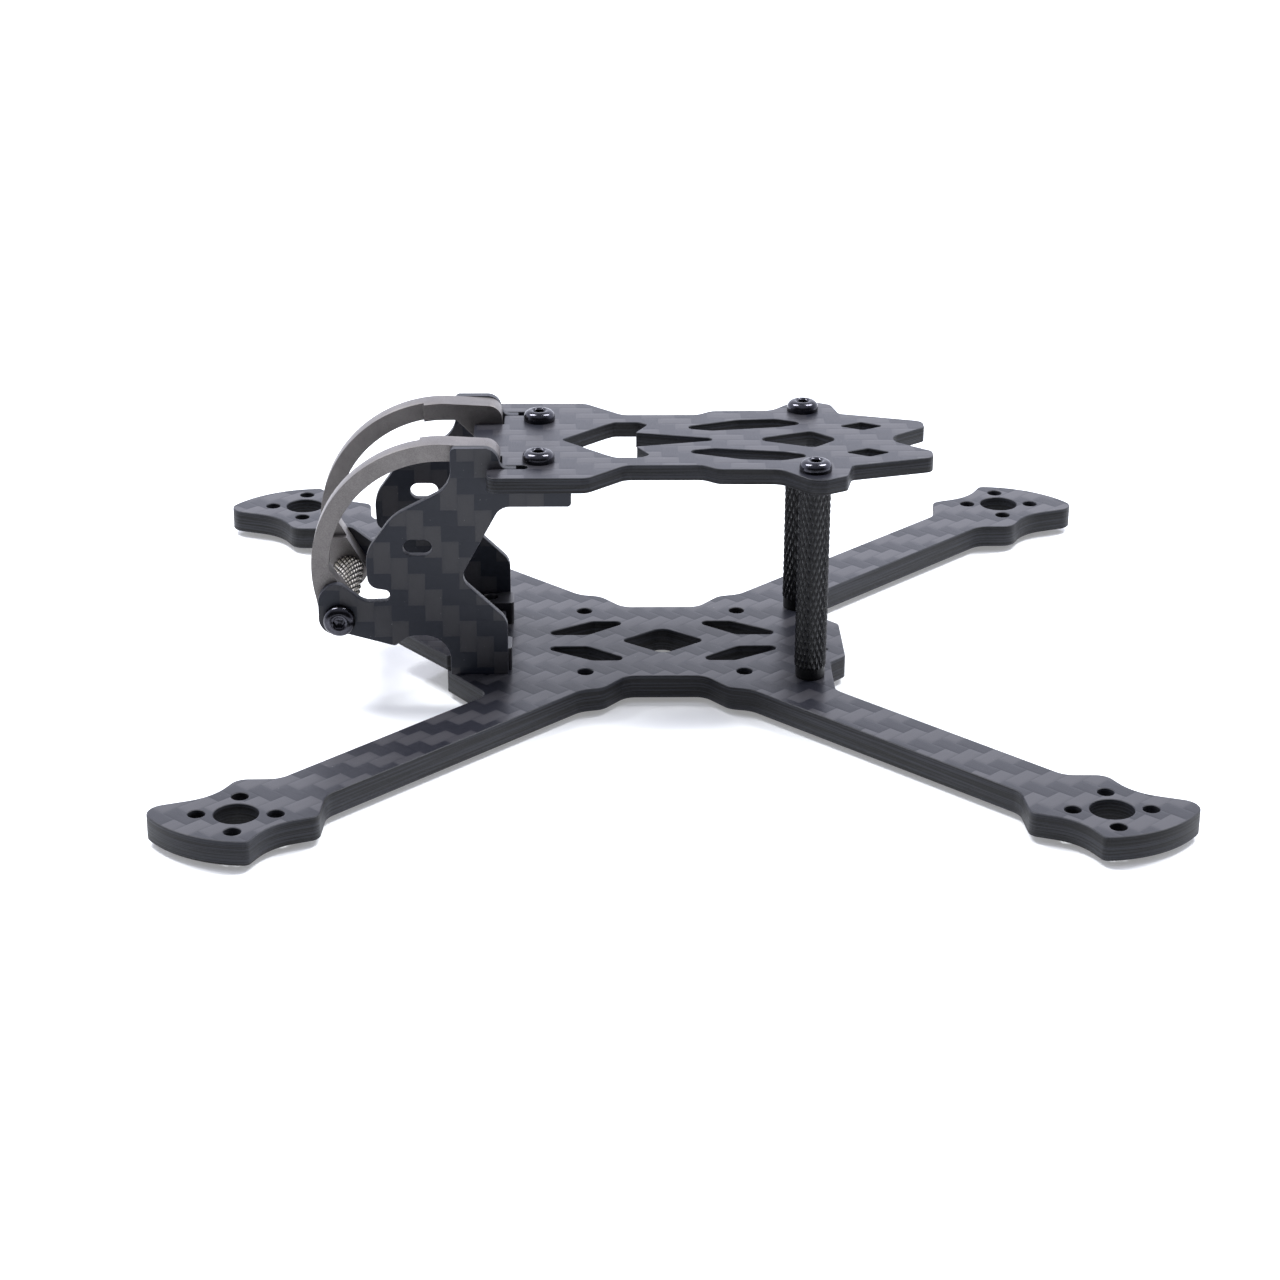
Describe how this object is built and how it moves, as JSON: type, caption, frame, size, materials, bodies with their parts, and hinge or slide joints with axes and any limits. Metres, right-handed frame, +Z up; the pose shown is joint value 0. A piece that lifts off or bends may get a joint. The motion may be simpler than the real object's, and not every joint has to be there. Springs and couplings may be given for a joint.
{
  "type": "quadcopter airframe",
  "caption": "Bare airframe of a small racing quadcopter: flat plate with diagonal arms, raised top plate on standoffs, and a camera bay guarded by metal arcs.",
  "frame": {"origin": "middle of the square through the four motor centres, on the surface that the frame stands on", "axes": "+X forward, towards the camera bay; +Y left; +Z up"},
  "size_m": [0.12, 0.114, 0.0338],
  "materials": {
    "carbon": "matte woven",
    "titanium": "bead blasted",
    "anodised": "black anodised, satin",
    "black_steel": "polished black"
  },
  "bodies": {
    "root": {"base_plate": "carbon", "nose_plate": "carbon", "top_plate": "carbon", "front_cross_standoff": "anodised", "left_side_plate": "carbon", "left_guard_arc": "titanium", "left_rear_standoff": "anodised", "left_lower_block": "anodised", "left_upper_block": "anodised", "left_rear_top_screw": "black_steel", "left_front_top_screw": "black_steel", "left_guard_screw": "black_steel", "left_rear_base_screw": "black_steel", "left_front_base_screw": "black_steel", "right_side_plate": "carbon", "right_guard_arc": "titanium", "right_rear_standoff": "anodised", "right_lower_block": "anodised", "right_upper_block": "anodised", "right_rear_top_screw": "black_steel", "right_front_top_screw": "black_steel", "right_guard_screw": "black_steel", "right_rear_base_screw": "black_steel", "right_front_base_screw": "black_steel"}
  },
  "joints": []
}
